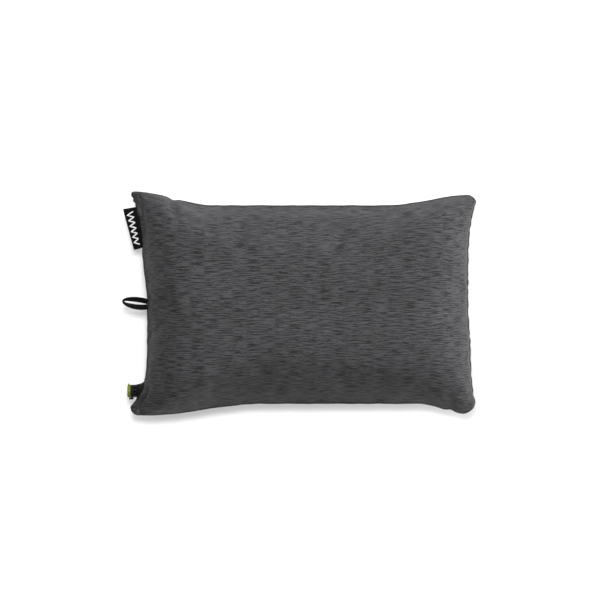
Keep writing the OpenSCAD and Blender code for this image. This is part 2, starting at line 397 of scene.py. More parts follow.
def foam_material():
    """Open-cell foam: a pale skin with round pore hollows, each darker towards its middle as painted shade.
    """
    n = Nodes("foam_open_cell")
    point = n.place()
    cells = n.add("TexVoronoi", {"Vector": point, "Scale": 720.0}).outputs["Distance"]
    blotch = n.relief(n.noise(point, 40), 0.6 * MM, 0.2)
    # Painted shade: each pore is darker towards its middle, where its hollow lies
    pore_shade = n.ramp(cells, (0.1, 0), (0.5, 1))
    n.link(n.mix(pore_shade, (0.42, 0.39, 0.31), (0.74, 0.71, 0.61)), "Base Color")
    n.link(n.relief(cells, 0.5 * MM, 0.7, blotch), "Normal")
    n.set(Roughness=0.95, Subsurface_Weight=0.15, Subsurface_Scale=2 * MM)
    return n.material


def film_material(name, colour):
    """Coated bladder film: satin, faintly wrinkled and slightly see-through."""
    n = Nodes(name)
    point = n.place()
    creases = n.noise(point, 75, 3.0, 0.6, (1, 1.8, 1))
    wrinkled = n.relief(creases, 1.2 * MM, 0.4)
    n.link(n.mix(creases, tuple(c * 0.85 for c in colour), colour), "Base Color")
    n.link(n.ramp(creases, (0.3, 0.28), (0.7, 0.45)), "Roughness")
    n.link(n.relief(n.noise(point, 1600), 0.03 * MM, 0.3, wrinkled), "Normal")
    n.set(Transmission_Weight=0.25, IOR=1.45)
    return n.material


COVER = heather("cover_heather", (0.004, 0.004, 0.0044), (0.064, 0.064, 0.067))
BASE = heather("cover_base_heather", (0.0048, 0.0048, 0.0052), (0.06, 0.06, 0.063), seed=3.7)
THREAD = webbing("topstitch_thread", (0.12, 0.121, 0.124), (0.3, 0.302, 0.308), 0.35 * MM)
SEAM_THREAD = webbing("seam_welt_knit", (0.012, 0.012, 0.013), (0.035, 0.035, 0.037), 0.6 * MM)
BLACK_CLOTH = webbing("black_binding_cloth", (0.001, 0.001, 0.0011), (0.005, 0.005, 0.0053), 0.55 * MM,
                      sheen=0.02, shine=0.15)
RIBBON = webbing("label_ribbon", (0.0008, 0.0008, 0.0009), (0.004, 0.004, 0.0042), 0.42 * MM,
                 place="cloth", sheen=0.02, shine=0.1)
LABEL_MARK = webbing("label_white_thread", (0.72, 0.72, 0.71), (0.93, 0.93, 0.92), 0.4 * MM,
                     sheen=0.1, rough=0.7)
LOOP = webbing("loop_webbing", (0.0008, 0.0008, 0.0009), (0.0045, 0.0045, 0.0048), 0.75 * MM,
               place="cloth", sheen=0.03, shine=0.1)
ZIP_TAPE = webbing("zip_tape_weave", (0.008, 0.008, 0.009), (0.03, 0.03, 0.032), 0.5 * MM)
NYLON = plastic("zip_nylon", (0.012, 0.012, 0.013), 0.32)
BLACK_PLASTIC = plastic("valve_black_plastic", (0.0015, 0.0015, 0.0017), 0.3, wear=0.01, shine=0.14)
CORE_PLASTIC = plastic("valve_core_plastic", (0.002, 0.002, 0.0023), 0.34, wear=0.01, shine=0.14)
GREEN_PLASTIC = plastic("valve_green_plastic", (0.11, 0.15, 0.01), 0.33, wear=0.02, coat=0.05,
                        scatter=0.1, shine=0.25)
FLAP_RUBBER = plastic("flap_silicone", (0.16, 0.17, 0.18), 0.5, scatter=0.25)
SEAL_RUBBER = plastic("seal_silicone", (0.55, 0.57, 0.58), 0.45, scatter=0.3)
GUNMETAL = metal("zip_gunmetal", (0.16, 0.165, 0.17), 0.3)
STEEL = metal("zip_stop_metal", (0.55, 0.56, 0.57), 0.28)
FOAM = foam_material()
FILM = film_material("bladder_film_blue", (0.26, 0.33, 0.37))
WEB_FILM = film_material("baffle_film", (0.4, 0.46, 0.49))


# ---- The cover's outline ----

# Half lengths to the seam at the middle of each end
LEFT_MID = 196.2 * MM
RIGHT_MID = 208 * MM
# Half widths to the seam at the middle of each long edge, by side
HALF_WIDTHS = {1: 124 * MM, -1: 125.3 * MM}
# How far the end seams reach out past their middles: a step near the middle, and a flare at a corner
LEFT_UP_STEP = 5.4 * MM
LEFT_UP_FLARE = 15.8 * MM
LEFT_LOW_FLARE = 21.3 * MM
RIGHT_UP_FLARE = 11 * MM
RIGHT_LOW_FLARE = 6.8 * MM
RIGHT_LOW_STEP = 3 * MM
# Scallops below the upper left tip: depth, and pitch as a share of the half width
SCALLOP_DEPTH = 0.8 * MM
SCALLOP_PITCH = 0.048
# Each corner's flare of the long edge: where it starts and ends along X, and how far it goes
FLARES = {
    (-1, 1): (112 * MM, 214 * MM, 17.4 * MM),
    (-1, -1): (52 * MM, 195 * MM, 14.6 * MM),
    (1, 1): (104 * MM, 210 * MM, 13.4 * MM),
    (1, -1): (147 * MM, 206 * MM, 12.8 * MM),
}
# Each corner's rounding radius at the tip
ROUNDS = {(-1, 1): 3.5 * MM, (-1, -1): 10 * MM, (1, 1): 13 * MM, (1, -1): 17 * MM}
# Small gathers in the long seams: side, place along X, width, depth
GATHERS = [(1, -165 * MM, 6 * MM, 2.6 * MM), (-1, 187 * MM, 5.5 * MM, 2.4 * MM),
           (1, 158 * MM, 9 * MM, 0.7 * MM), (-1, -120 * MM, 12 * MM, 0.5 * MM)]


def end_reach(side, v):
    """How far the seam of an end lies from the middle, at share v of the half width."""
    up, down = np.clip(v, 0, 1), np.clip(-v, 0, 1)
    if side < 0:
        flare = (LEFT_UP_STEP * smooth(up / 0.45) + LEFT_UP_FLARE * up ** 4
                 + LEFT_LOW_FLARE * np.clip(down / 0.93, 0, 1) ** 6)
        scallops = (SCALLOP_DEPTH * np.sin(v * 2 * math.pi / SCALLOP_PITCH)
                    * smooth((up - 0.86) / 0.03) * smooth((1 - up) / 0.03))
        return LEFT_MID + flare + scallops + 0.35 * MM * waves(v, 0.16, 3)
    flare = (RIGHT_UP_FLARE * np.clip(up / 0.95, 0, 1) ** 4.6
             + RIGHT_LOW_FLARE * np.clip(down / 0.92, 0, 1) ** 5)
    return RIGHT_MID + flare + RIGHT_LOW_STEP * smooth(down / 0.45) + 0.6 * MM * waves(v, 0.11, 5)


def edge_reach(side, u):
    """How far the seam of a long edge lies from the middle, at share u of the half length."""
    x = u * CORNER_X
    reach = HALF_WIDTHS[side] + 0.25 * MM * waves(u, 0.14, 9 + side)
    for (end, edge), (start, stop, flare) in FLARES.items():
        if edge == side:
            reach = reach + flare * smooth((end * x - start) / (stop - start))
    for edge, middle, width, depth in GATHERS:
        if edge == side:
            reach = reach - depth * bump_at(x, middle, width)
    return reach


def round_corners(x, y):
    """Turns each square corner of the outline into an arc, and its neighbourhood with it."""
    x, y = x.copy(), y.copy()
    for (end, edge), radius in ROUNDS.items():
        tip_x = end_reach(end, np.array(float(edge)))
        tip_y = edge_reach(edge, np.array(float(end)))
        p = (tip_x - end * x) / radius
        q = (tip_y - edge * y) / radius
        near = (p < 1) & (q < 1)
        p, q = np.clip(p, 0, 1), np.clip(q, 0, 1)
        across = 1 - (1 - p) * np.sqrt(1 - (1 - q) ** 2 / 2)
        down = 1 - (1 - q) * np.sqrt(1 - (1 - p) ** 2 / 2)
        x = np.where(near, end * (tip_x - across * radius), x)
        y = np.where(near, edge * (tip_y - down * radius), y)
    return x, y


def plan(u, v, inset=0.0):
    """The place in plan of the share u along the pillow and v across it."""
    x = u * (np.where(u < 0, end_reach(-1, v), end_reach(1, v)) - inset)
    y = v * (np.where(v < 0, edge_reach(-1, u), edge_reach(1, u)) - inset)
    return round_corners(x, y)


# ---- The cover's crown ----

# The crown is level along X up to this share of the half length
LEVEL_SHARE = 0.6
# How square the crown is at its ends and at its long sides
END_POWER = 2.5
SIDE_POWER = 3.5
# The crown before the cloth swells, as a share of the CAD's
SLACK_CROWN = 0.985
GRID_ROWS = 91
GRID_COLS = 57
CLOTH_THICKNESS = 1.3 * MM


def close_ends(u):
    """The crown's height over share u of the half length, from 1 down to 0 at the seam."""
    past = np.clip((np.abs(u) - LEVEL_SHARE) / (1 - LEVEL_SHARE), 0, 1)
    return np.sqrt(np.clip(1 - past ** END_POWER, 0, 1))


def close_sides(v):
    """The crown's height over share v of the half width, from 1 down to 0 at the seam."""
    return np.sqrt(np.clip(1 - np.abs(v) ** SIDE_POWER, 0, 1))


def even_lines(closing, reach, height, count):
    """Shares from -1 to 1 that cut a cross-section of the crown into equal lengths."""
    share = np.sin(np.linspace(-math.pi / 2, math.pi / 2, 4001))
    run = np.hypot(np.diff(share) * reach, np.diff(closing(share)) * height)
    length = np.concatenate([[0], np.cumsum(run)])
    return np.interp(np.linspace(0, length[-1], count), length, share)


u_lines = even_lines(close_ends, CORNER_X, CROWN, GRID_ROWS)
v_lines = even_lines(close_sides, HALF_WIDTHS[-1], CROWN, GRID_COLS)
# Length of cloth between the last two lines of the grid at an end
END_STEP = math.hypot((u_lines[-1] - u_lines[-2]) * CORNER_X,
                      (close_ends(u_lines[-1]) - close_ends(u_lines[-2])) * CROWN)


def grid_faces(rows, cols, flip=False):
    faces = [(i * cols + j, (i + 1) * cols + j, (i + 1) * cols + j + 1, i * cols + j + 1)
             for i in range(rows - 1) for j in range(cols - 1)]
    return [f[::-1] for f in faces] if flip else faces


def rows_of(*columns):
    """Grids of one size, as the columns of an array."""
    return np.stack([c.ravel() for c in columns], axis=1)


def cloth_places(x, y, z):
    """Lengths measured on the cloth itself, along and across, for a grid of points."""
    def lengths(axis):
        moved = np.sqrt(sum(np.diff(a, axis=axis) ** 2 for a in (x, y, z)))
        zero = np.zeros_like(moved.take([0], axis=axis))
        return np.concatenate([zero, np.cumsum(moved, axis=axis)], axis=axis)
    along, across = lengths(0), lengths(1)
    along -= along[along.shape[0] // 2][None, :]
    across -= across[:, across.shape[1] // 2][:, None]
    return along, across


# The opening for the valve: its radius, and where the seam is lifted along X
HOLE_R = 10.6 * MM
PORT_X = -205 * MM
PORT_REACH = 26 * MM
PORT_RISE = 14 * MM


def open_for_valve(points, side, edge):
    """Lifts the seam's edge round the barrel, so that the two panels leave a round opening."""
    points = points.copy()
    off = np.clip(np.abs(points[:, 1] - VALVE_Y) / HOLE_R, 0, 1)
    lift = HOLE_R * np.sqrt(1 - off ** 2)
    fade = 1 - smooth(np.abs(points[:, 0] - PORT_X) / PORT_REACH)
    height = side * (points[:, 2] - SEAM_Z)
    share = fade * np.where(edge, 1.0, np.exp(-np.clip(height, 0, 1) / PORT_RISE))
    points[:, 2] += side * lift * share
    return points


EAR_DROP = 0.42


def pinch_corners(points, u, v):
    """Flat ears at the tips: the crown ends before the corner, and the seam stands out past it."""
    ear = smooth((np.abs(u) - 0.8) / 0.2) * smooth((np.abs(v) - 0.72) / 0.28)
    points = points.copy()
    points[:, 2] -= (points[:, 2] - SEAM_Z) * EAR_DROP * ear
    return points


def make_panel(side):
    """One panel as a sheet, with its cloth places, its shares and its seam stored on it."""
    u, v = np.meshgrid(u_lines, v_lines, indexing="ij")
    x, y = plan(u, v)
    z = SEAM_Z + side * CROWN * SLACK_CROWN * close_ends(u) * close_sides(v)
    along, across = cloth_places(x, y, z)
    edge = ((np.abs(u) > 0.9999) | (np.abs(v) > 0.9999)).ravel()
    points = pinch_corners(rows_of(x, y, z), u.ravel(), v.ravel())
    points = open_for_valve(points, side, edge)
    name = "cover_upper_panel" if side > 0 else "cover_lower_panel"
    faces = grid_faces(GRID_ROWS, GRID_COLS, flip=side < 0)
    obj = make_mesh(name, points, faces, COVER if side > 0 else BASE)
    store(obj, "cloth", rows_of(along, across, np.zeros_like(along)))
    store(obj, "share", rows_of(u, v, edge.astype(float)))
    return obj


# Cloth pressure, its frames, and the farthest that it may move a point
PRESSURE = 4.0
SWELL_FRAMES = 20
SWELL_CAP = 6 * MM


def inflate(obj):
    """Blows a panel up with its seam held, so that the cloth finds its own swell and creases."""
    before = coords(obj)
    held = stored(obj, "share")[:, 2] > 0.5
    group = obj.vertex_groups.new(name="held")
    group.add([int(i) for i in np.nonzero(held)[0]], 1.0, "REPLACE")
    cloth = obj.modifiers.new("cloth", "CLOTH")
    settings = cloth.settings
    settings.quality = 5
    settings.mass = 0.25
    settings.tension_stiffness = settings.compression_stiffness = 12
    settings.shear_stiffness = 4
    settings.bending_stiffness = 0.6
    settings.vertex_group_mass = "held"
    settings.use_pressure = True
    settings.uniform_pressure_force = PRESSURE
    settings.shrink_min = -0.022
    settings.effector_weights.gravity = 0
    scene = bpy.context.scene
    for number in range(1, SWELL_FRAMES + 1):
        scene.frame_set(number)
    after = obj.evaluated_get(bpy.context.evaluated_depsgraph_get()).to_mesh()
    moved = read_vectors(after.vertices, "co") - before
    obj.modifiers.remove(cloth)
    obj.vertex_groups.remove(group)
    scene.frame_set(1)
    size = np.linalg.norm(moved, axis=1)
    set_coords(obj, before + moved * (np.minimum(size, SWELL_CAP) / np.maximum(size, 1e-9))[:, None])


# Turn shares into distances from a corner
FAN_X = 190 * MM
FAN_Y = 118 * MM


def crease(points, shares, side):
    """Puckers, fans and gathers: how far each point moves out along its normal."""
    u, v = shares[:, 0], shares[:, 1]
    x, y = points[:, 0], points[:, 1]
    rise = np.abs(points[:, 2] - SEAM_Z)
    push = np.zeros(len(points))
    # Puckers run off the end seams along X, and off the long seams down the flank
    near_right = smooth((u - 0.86) / 0.14) * np.exp(-rise / (30 * MM))
    near_left = smooth((-u - 0.9) / 0.1) * np.exp(-rise / (26 * MM))
    near_long = smooth((np.abs(v) - 0.93) / 0.07) * np.exp(-rise / (22 * MM))
    push += 0.75 * MM * near_right * waves(y, 10.5 * MM, 11 + side)
    push += 0.5 * MM * near_left * waves(y, 12 * MM, 17 + side)
    push += 0.4 * MM * near_long * waves(x, 14 * MM, 23 + side) * (1 - np.abs(u) ** 8)
    # Creases that fan out of each corner
    for end, edge in ROUNDS:
        reach = np.hypot((end * u - 1) * FAN_X, (edge * v - 1) * FAN_Y)
        turn = np.arctan2((1 - edge * v) * FAN_Y, (1 - end * u) * FAN_X + 1e-6)
        push += 0.4 * MM * bump_at(reach, 26 * MM, 22 * MM) * np.sin(turn * 13 + end + 2 * edge)
    # Gathers in the long seams carry on up the flank
    for edge, middle, width, depth in GATHERS:
        lean = middle + (1 - edge * v) * 30 * MM * (1 if middle < 0 else -1)
        near = smooth((edge * v - 0.72) / 0.2) * smooth((1 - edge * v) / 0.03)
        push -= 0.8 * depth * bump_at(x, lean, width * 1.1) * near
    # The seam itself stays where it is
    return push * (1 - shares[:, 2])


# The left corners' folds: the valley's depth and the ridge's height, at the upper and the lower corner
HIGH_VALLEY, LOW_VALLEY = 9 * MM, 8 * MM
HIGH_RIDGE, LOW_RIDGE = 0.8 * MM, 2 * MM


def left_fold(points, side):
    """The dark valley just inside the left seam near both corners, and the ridge beside it."""
    x, y = points[:, 0], points[:, 1]
    high = smooth((y - 66 * MM) / (50 * MM))
    low = smooth((-y - 92 * MM) / (26 * MM))
    gap = x + end_reach(-1, y / CORNER_Y)
    middle = np.where(y > 0, 6.5 * MM, 8.5 * MM)
    valley = bump_at(gap, middle, 3 * MM)
    ridge = bump_at(gap, middle + 8 * MM, 6 * MM)
    depth = high * HIGH_VALLEY + low * LOW_VALLEY
    return side * (depth * valley - (high * HIGH_RIDGE + low * LOW_RIDGE) * ridge)


def in_zip(points):
    """Points in the zip's frame: along, out, up."""
    rel = points - np.array(ZIP_MID)
    return rel[:, 0], rel @ np.array(ZIP_OUT), rel @ np.array(ZIP_UP)


def flatten_at_zip(points):
    """The flank is straight where the zip is sewn in."""
    along, out, up = in_zip(points)
    share = 1 - smooth((np.abs(along) - ZIP_HALF) / (30 * MM))
    share = share * (1 - smooth((np.abs(up) - 8 * MM) / (9 * MM)))
    return points - np.outer(share * (out - 0.2 * MM) * (np.abs(out) < 9 * MM), np.array(ZIP_OUT))


# Cloth this near to the zip's plane is the flank behind it
FLANK_NEAR = 8 * MM


def cut_zip_slot(obj):
    """Opens the flank behind the zip and moves the cut's edge onto straight lines."""
    along, out, up = in_zip(coords(obj))
    inside = (np.abs(along) < ZIP_HALF) & (np.abs(up) < SLOT_HALF) & (np.abs(out) < FLANK_NEAR)
    mesh = bmesh.new()
    mesh.from_mesh(obj.data)
    mesh.verts.ensure_lookup_table()
    cut = [mesh.verts[int(i)] for i in np.nonzero(inside)[0]]
    bmesh.ops.delete(mesh, geom=cut, context="VERTS")
    for vertex in {v for e in mesh.edges if e.is_boundary for v in e.verts}:
        rel = vertex.co - ZIP_MID
        a, o, h = rel.x, rel.dot(ZIP_OUT), rel.dot(ZIP_UP)
        if abs(a) < ZIP_HALF + 6 * MM and abs(h) < SLOT_HALF + 5 * MM and abs(o) < FLANK_NEAR:
            a = clamp(a, ZIP_HALF)
            h = math.copysign(SLOT_HALF, h) if abs(a) < ZIP_HALF else clamp(h, SLOT_HALF)
            vertex.co = ZIP_MID + Vector((a, 0, 0)) + ZIP_OUT * (0.1 * MM) + ZIP_UP * h
    mesh.to_mesh(obj.data)
    mesh.free()


def finish_panel(obj, side):
    """Folds and thickens a panel, opens it for the zip, hangs it on the pillow's body and hides its CAD
    node.
    """
    subdivide(obj)
    points, shares = coords(obj), stored(obj, "share")
    set_coords(obj, points + normals(obj) * crease(points, shares, side)[:, None])
    points = coords(obj)
    points[:, 2] -= left_fold(points, side)
    if side < 0:
        points = flatten_at_zip(points)
        points[:, 2] = np.maximum(points[:, 2], 0.35 * MM)
    set_coords(obj, points)
    if side < 0:
        cut_zip_slot(obj)
    thicken(obj, CLOTH_THICKNESS)
    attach(obj, "pillow")
    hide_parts("cover_top" if side > 0 else "cover_bottom")


def make_cover():
    """Both panels, the upper and the lower, each blown up by the cloth and then finished."""
    panels = {side: make_panel(side) for side in (1, -1)}
    for obj in panels.values():
        inflate(obj)
    for side, obj in panels.items():
        finish_panel(obj, side)
    return panels[1], panels[-1]


# ---- Seam, stitches and binding ----

SEAM_STEPS = 225
WELT_R = 1.05 * MM


def seam_curve():
    """Points round the seam, anticlockwise from the upper left corner."""
    corner = np.linspace(-1, 1, SEAM_STEPS)
    one = np.ones_like(corner)
    points = []
    for u, v in ((-one, -corner), (corner, -one), (one, corner), (-corner, one)):
        x, y = plan(u, v)
        points += [(a, b, SEAM_Z) for a, b in zip(x[:-1], y[:-1])]
    return points


def make_welt():
    """The rolled edge of the seam allowance, a shade darker than the panels, open at the valve."""
    run = [p for p in seam_curve() if not (p[0] < -195 * MM and abs(p[1] - VALVE_Y) < HOLE_R - 0.5 * MM)]
    start = next(i for i in range(len(run)) if math.dist(run[i], run[i - 1]) > 8 * MM)
    welt = tube("seam_welt", run[start:] + run[:start], WELT_R, SEAM_THREAD, 8)
    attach(welt, "pillow")


def panel_places(obj):
    """A function from the shares along and across a panel to the place and normal on its cloth."""
    points, flat = coords(obj), stored(obj, "share")
    flat[:, 2] = 0
    obj.data.calc_loop_triangles()
    corners = [tuple(t.vertices) for t in obj.data.loop_triangles]
    tree = BVHTree.FromPolygons([Vector(p) for p in flat], corners)

    def find(u, v):
        spot, _, index, _ = tree.find_nearest(Vector((u, v, 0)))
        shares = [Vector(flat[i]) for i in corners[index]]
        real = [Vector(points[i]) for i in corners[index]]
        normal = (real[1] - real[0]).cross(real[2] - real[0]).normalized()
        return barycentric_transform(spot, *shares, *real), normal
    return find


def nearest_places(obj):
    """A function from a point to the nearest place on a panel and the normal there."""
    bpy.context.view_layer.update()
    tree = BVHTree.FromObject(obj, bpy.context.evaluated_depsgraph_get())
    return lambda point: tree.find_nearest(point)[:2]


STITCH = 2.6 * MM
STITCH_GAP = 1.1 * MM
THREAD_R = 0.28 * MM


def stitch_row(name, placed, material):
    """Thread stitches along places on a panel, each a short raised dash."""
    spots = [p for p, _ in placed]
    run = [0.0]
    for a, b in zip(spots, spots[1:]):
        run.append(run[-1] + (b - a).length)

    def at(s):
        i = max(0, min(len(spots) - 2, int(np.searchsorted(run, s, side="right")) - 1))
        t = (s - run[i]) / max(run[i + 1] - run[i], 1e-9)
        return spots[i].lerp(spots[i + 1], t), placed[i][1]
    parts, start = [], 0.0
    while start + STITCH < run[-1]:
        line = []
        for share in np.linspace(0, 1, 5):
            place, normal = at(start + share * STITCH)
            line.append(place + normal * (THREAD_R * (0.1 + math.sin(math.pi * share))))
        parts.append(tube("stitch", line, THREAD_R, material, 6))
        start += STITCH + STITCH_GAP
    obj = join(name, parts)
    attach(obj, "pillow")


# Topstitching at the ends: side, name, its shares from and to across the pillow, and its thread
END_ROWS = [(1, "right", -0.97, 0.96, THREAD), (-1, "left", -0.68, 0.96, SEAM_THREAD)]
ROW_INSETS = (5 * MM, 10 * MM)
ZIP_ROW = SLOT_HALF + 2.2 * MM


def make_stitches(upper, lower):
    """Two rows beside each end seam on the upper panel, and one beside each edge of the zip's slot."""
    find = panel_places(upper)
    last_lines = u_lines[::-1][:20]
    for side, end, low, high, material in END_ROWS:
        for number, inset in enumerate(ROW_INSETS, 1):
            u = side * np.interp(inset / END_STEP, np.arange(len(last_lines)), last_lines)
            placed = [find(u, v) for v in np.linspace(low, high, 110)]
            stitch_row(f"topstitch_{end}_{number}", placed, material)
    nearest = nearest_places(lower)
    for number, level in enumerate((ZIP_ROW, -ZIP_ROW), 1):
        line = [ZIP_MID + Vector((x, 0, 0)) + ZIP_UP * level
                for x in np.linspace(-ZIP_HALF - 2 * MM, ZIP_HALF + 2 * MM, 60)]
        stitch_row(f"topstitch_zip_{number}", [nearest(p) for p in line], THREAD)


# The binding's rings: radius in mm, how far it keeps to the seam's own line, and its shift along X in mm
BINDING_RINGS = [(9.8, 1, 3), (11.8, 1, 2.2), (12.3, 1, 0.7), (12.1, 1, -0.8), (11.2, 1, -1.5),
                 (10.2, 0.8, -1.2), (9.5, 0.45, -0.4), (9, 0.15, 0.1), (8.8, 0, -0.6), (8.6, 0, -1.6),
                 (8.15, 0, -1.7), (8.1, 0, 1), (8.1, 0, 9)]
COLLAR_X = -208.6 * MM


def make_port_binding():
    """The black bound edge of the opening, and the sleeve that closes it on the barrel."""
    around = 64
    seam_x, seam_y = plan(-np.ones(600), np.linspace(-0.97, 0, 600))
    points = []
    for radius, keep, shift in BINDING_RINGS:
        for angle in np.linspace(0, 2 * math.pi, around, endpoint=False):
            pleat = 1 + 0.01 * math.sin(angle * 13) * (8.9 < radius < 11)
            lip_x = np.interp(VALVE_Y + HOLE_R * math.cos(angle), seam_y, seam_x)
            points.append((lip_x * keep + COLLAR_X * (1 - keep) + shift * MM,
                           VALVE_Y + radius * pleat * MM * math.cos(angle),
                           SEAM_Z + radius * pleat * MM * math.sin(angle)))
    faces = []
    for i in range(len(BINDING_RINGS)):
        a, b = i * around, (i + 1) % len(BINDING_RINGS) * around
        for k in range(around):
            faces.append((a + k, b + k, b + (k + 1) % around, a + (k + 1) % around))
    obj = make_mesh("port_binding", points, faces, BLACK_CLOTH)
    subdivide(obj)
    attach(obj, "pillow")
    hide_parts("valve_port_binding")


# ---- Label and loop ----

label_low, label_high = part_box("side_label")
LABEL_SEAM_TOP = Vector((-212.2, 122.6, 0)) * MM
LABEL_SEAM_LOW = Vector((-202.9, 71.2, 0)) * MM
LABEL_FREE_TOP = Vector((label_low.x, label_high.y - 0.4 * MM, 0))
LABEL_FREE_LOW = Vector((-213.6 * MM, label_low.y - 1.4 * MM, 0))
LABEL_LENGTH = 51 * MM
LABEL_STEPS = 30
# In mm: half the gap between the ribbon's two layers, and the mark's height above their middle
LAYER_RISE = 0.62
MARK_RISE = 1.05
MARK_R = 0.82 * MM
PEAKS = 6
PEAK_STEPS = 10


def label_place(share, t, height):
    """A place on the bowed label: share up its length, t from seam to free edge, and mm above it."""
    inner = LABEL_SEAM_LOW.lerp(LABEL_SEAM_TOP, share)
    outer = LABEL_FREE_LOW.lerp(LABEL_FREE_TOP, share)
    bow = 1.5 * math.sin(share * 2.6 + 0.3) * max(t, 0) ** 2 - 0.8 * max(t, 0)
    return inner.lerp(outer, t) + Vector((0, 0, SEAM_Z + (height + bow + 0.4) * MM)), (inner - outer).length


def make_label():
    """A folded ribbon: two layers that meet in a round fold at the free edge, with a woven mark."""
    layer = np.linspace(-0.35, 0.9, 14)
    fold = np.linspace(0.4, math.pi - 0.4, 6)
    profile = [(t, LAYER_RISE) for t in layer]
    profile += [(0.9 + 0.1 * math.sin(a), LAYER_RISE * math.cos(a)) for a in fold]
    profile += [(t, -LAYER_RISE) for t in layer[::-1]]
    points, cloth = [], []
    for j in range(LABEL_STEPS + 1):
        share = j / LABEL_STEPS
        for t, height in profile:
            place, breadth = label_place(share, t, height)
            points.append(place)
            cloth.append((share * LABEL_LENGTH, breadth * t, 0))
    obj = make_mesh("folded_label", points, grid_faces(LABEL_STEPS + 1, len(profile), flip=True), RIBBON)
    store(obj, "cloth", np.array(cloth))
    thicken(obj, 0.42 * MM, 0.0)
    mark = make_label_mark()
    for piece in (obj, mark):
        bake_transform(piece)
    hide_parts("side_label")


def make_label_mark():
    """A plain row of woven peaks, raised on the upper layer."""
    line = []
    for k in range(PEAKS * PEAK_STEPS + 1):
        share = 0.1 + 0.8 * k / (PEAKS * PEAK_STEPS)
        t = 0.26 + 0.54 * (1 - abs(2 * (k / PEAK_STEPS % 1) - 1))
        line.append(label_place(share, t, MARK_RISE)[0])
    return tube("label_mark", line, MARK_R, LABEL_MARK)


LOOP_STEPS = 56
LOOP_RING = 16
LOOP_LENGTH = 76 * MM
LOOP_WIDTH = 8.2 * MM
LOOP_THICKNESS = 1.15 * MM
# Where the loop leaves the seam, and the middle line of its bow
LOOP_ROOT_X = -195.5 * MM
LOOP_BOW_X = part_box("hang_loop")[0].x + 0.9 * MM


def loop_place(angle):
    """The loop's middle line, from its upper end at -pi, round the bow at 0, to its lower end at pi."""
    reach = (1 + math.cos(angle)) / 2
    middle = -0.2 + 3.6 * reach ** 0.8
    half_gap = 3.5 * abs(math.sin(angle)) + 2.9 * (1 - reach) ** 2
    return Vector((LOOP_ROOT_X + (LOOP_BOW_X - LOOP_ROOT_X) * reach ** 0.56,
                   (middle - math.copysign(half_gap, angle)) * MM,
                   SEAM_Z + 0.6 * MM * math.sin(angle)))


def squared(value, power):
    """The value's size to a power, with its sign: below 1 it makes an ellipse boxier."""
    return math.copysign(abs(value) ** power, value)


def make_loop():
    """Flat webbing that leaves the seam, turns round and comes back, leaning outward on both sides."""
    points, cloth = [], []
    for angle in np.linspace(-math.pi, math.pi, LOOP_STEPS + 1):
        place = loop_place(angle)
        along = (loop_place(min(angle + 0.1, math.pi)) - loop_place(max(angle - 0.1, -math.pi))).normalized()
        lean = 0.2 + 0.75 * (1 - ((1 + math.cos(angle)) / 2) ** 2)
        out = along.cross(UP).normalized()
        broad = (UP * math.cos(lean) + out * math.sin(lean)).normalized()
        flat = along.cross(broad).normalized()
        for turn in np.linspace(0, 2 * math.pi, LOOP_RING, endpoint=False):
            a = squared(math.cos(turn), 0.35) * LOOP_WIDTH / 2
            b = squared(math.sin(turn), 0.8) * LOOP_THICKNESS / 2
            points.append(place + broad * a + flat * b)
            cloth.append((angle / (2 * math.pi) * LOOP_LENGTH, a, 0))
    obj = make_mesh("webbing_loop", points, tube_faces(LOOP_STEPS + 1, LOOP_RING), LOOP)
    store(obj, "cloth", np.array(cloth))
    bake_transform(obj)
    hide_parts("hang_loop")


# ---- Zip and other CAD nodes ----

COIL_PITCH = 1.5 * MM
COIL_WIRE_R = 0.36 * MM
COIL_HALF_WIDTH = 0.98 * MM
COIL_HALF_DEPTH = 0.62 * MM
COIL_STEPS = 10


def make_coil(side):
    """One half of the coil: a nylon monofilament wound in flat loops, sewn to its tape."""
    start, stop = coil_low.x, coil_high.x
    first = 0 if side > 0 else 0.5
    line = []
    for k in range(int((stop - start) / COIL_PITCH) * COIL_STEPS + 1):
        angle = 2 * math.pi * k / COIL_STEPS
        level = side * (COIL_RISE + COIL_HALF_WIDTH * math.cos(angle))
        out = COIL_HALF_DEPTH * math.sin(angle) - COIL_SINK
        x = min(start + (k / COIL_STEPS + first) * COIL_PITCH, stop)
        line.append(ZIP_MID + Vector((x, 0, 0)) + ZIP_UP * level + ZIP_OUT * out)
    obj = tube("zip_teeth_upper" if side > 0 else "zip_teeth_lower", line, COIL_WIRE_R, NYLON, 6)
    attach(obj, "pillow")
    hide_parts("zip_coil_upper" if side > 0 else "zip_coil_lower")


def bevel_cad(names, material, width):
    """CAD nodes keep their shape, with their hard edges slightly rounded and a real finish."""
    for name in names:
        obj = frame["nodes"][name]
        obj.data.materials.clear()
        obj.data.materials.append(material)
        weld = obj.modifiers.new("weld", "WELD")
        weld.merge_threshold = 0.002 * MM
        bevel = obj.modifiers.new("bevel", "BEVEL")
        bevel.width = width
        bevel.segments = 2
        bevel.limit_method = "ANGLE"
        bevel.angle_limit = math.radians(38)
        bevel.harden_normals = True


def finish_cad():
    """The CAD nodes that stay, each with its material and the width of its rounded edges."""
    bevel_cad(["valve_base"], BLACK_PLASTIC, 0.22 * MM)
    bevel_cad(["valve_core"], CORE_PLASTIC, 0.16 * MM)
    bevel_cad(["valve_cap"], GREEN_PLASTIC, 0.2 * MM)
    bevel_cad(["check_flap"], FLAP_RUBBER, 0.08 * MM)
    bevel_cad(["cap_seal"], SEAL_RUBBER, 0.06 * MM)
    bevel_cad(["zip_slider", "zip_pull"], GUNMETAL, 0.16 * MM)
    bevel_cad(["zip_top_stops", "zip_bottom_stop"], STEEL, 0.12 * MM)
    bevel_cad(["zip_tape_upper", "zip_tape_lower"], ZIP_TAPE, 0.05 * MM)
    bevel_cad([f"baffle_{k}" for k in range(1, 5)], WEB_FILM, 0.1 * MM)


# ---- Foam and bladder, inside the cover ----

# How far inside the seam they end
FOAM_INSET = 36 * MM
FILM_INSET = 18 * MM
FOAM_HALF = 11.2 * MM
